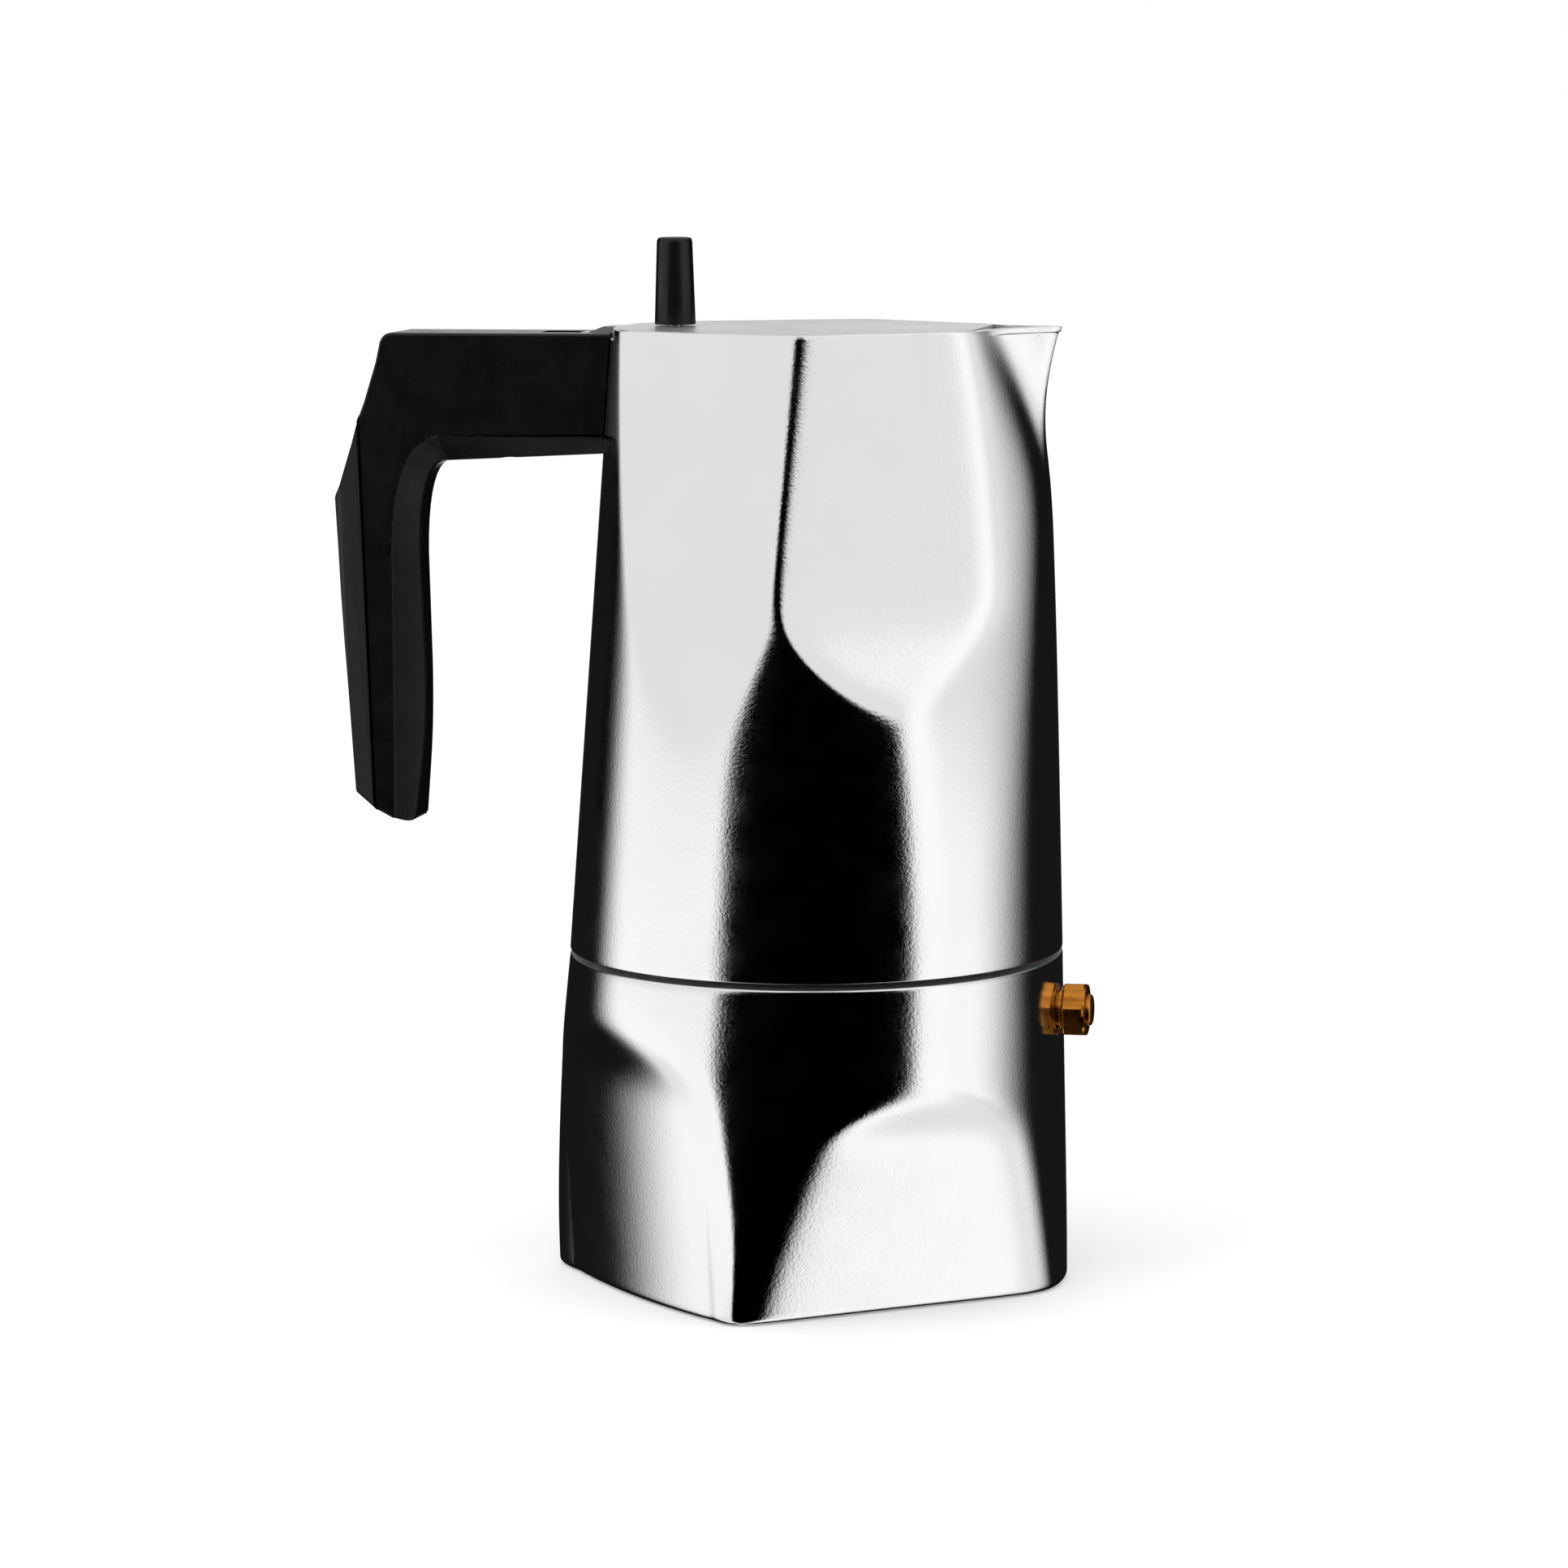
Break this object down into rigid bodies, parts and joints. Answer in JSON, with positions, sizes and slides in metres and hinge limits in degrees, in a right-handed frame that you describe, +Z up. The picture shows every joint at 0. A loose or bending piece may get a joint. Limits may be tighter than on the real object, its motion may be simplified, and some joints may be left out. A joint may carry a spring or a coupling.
{
  "type": "moka pot",
  "caption": "Stovetop moka pot: faceted cast boiler with safety valve, lift-out funnel, screw-on jug with hinged lid, knob and hooked plastic handle.",
  "frame": {"origin": "centre of the boiler's flat underside, on the pot's upright axis", "axes": "+Z up, +X towards the spout and the safety valve, the handle at -X"},
  "size_m": [0.1667, 0.1106, 0.2243],
  "materials": {
    "polished_aluminium": "polished, finely granular casting",
    "satin_aluminium": "satin",
    "brass": "machined",
    "steel": "bright",
    "black_plastic": "matte moulded",
    "silicone": "matte"
  },
  "bodies": {
    "base": {"boiler": "polished_aluminium", "valve_body": "brass", "valve_washer": "brass", "valve_seat": "brass", "valve_spring": "steel"},
    "valve_pin": {"valve_stem": "brass"},
    "funnel": {"funnel_bowl": "satin_aluminium", "funnel_tube": "satin_aluminium", "funnel_sieve": "satin_aluminium"},
    "seal": {"gasket": "silicone"},
    "filter": {"filter_plate": "satin_aluminium"},
    "jug_body": {"jug": "polished_aluminium", "handle": "black_plastic", "handle_screw": "steel", "handle_insert": "brass", "hinge_pin": "steel"},
    "lid_body": {"lid": "satin_aluminium", "knob": "black_plastic", "knob_washer": "steel", "knob_insert": "brass", "knob_screw": "steel"}
  },
  "joints": [
    {"name": "valve_lift", "type": "slide", "parent": "base", "child": "valve_pin", "axis": [1, 0, 0], "range_m": [0, 0.0015], "stiffness_N_per_m": 3000, "springref_m": -0.0013, "deforming": ["valve_spring"]},
    {"name": "funnel_lift", "type": "slide", "parent": "base", "child": "funnel", "axis": [0, 0, 1], "range_m": [0, 0.085]},
    {"name": "thread_rise", "type": "slide", "parent": "funnel", "child": "seal", "axis": [0, 0, 1], "range_m": [0, 0.006]},
    {"name": "jug_turn", "type": "hinge", "parent": "seal", "child": "filter", "pos_m": [0, 0, 0.088], "axis": [0, 0, 1], "range_deg": [0, 720]},
    {"name": "jug_lift", "type": "slide", "parent": "filter", "child": "jug_body", "axis": [0, 0, 1], "range_m": [0, 0.045]},
    {"name": "lid_hinge", "type": "hinge", "parent": "jug_body", "child": "lid_body", "pos_m": [-0.05, 0, 0.201], "axis": [0, -1, 0], "range_deg": [0, 105]}
  ],
  "couplings": [
    {"joint": "thread_rise", "follows": "jug_turn", "m_per_rad": 0.00047746}
  ]
}
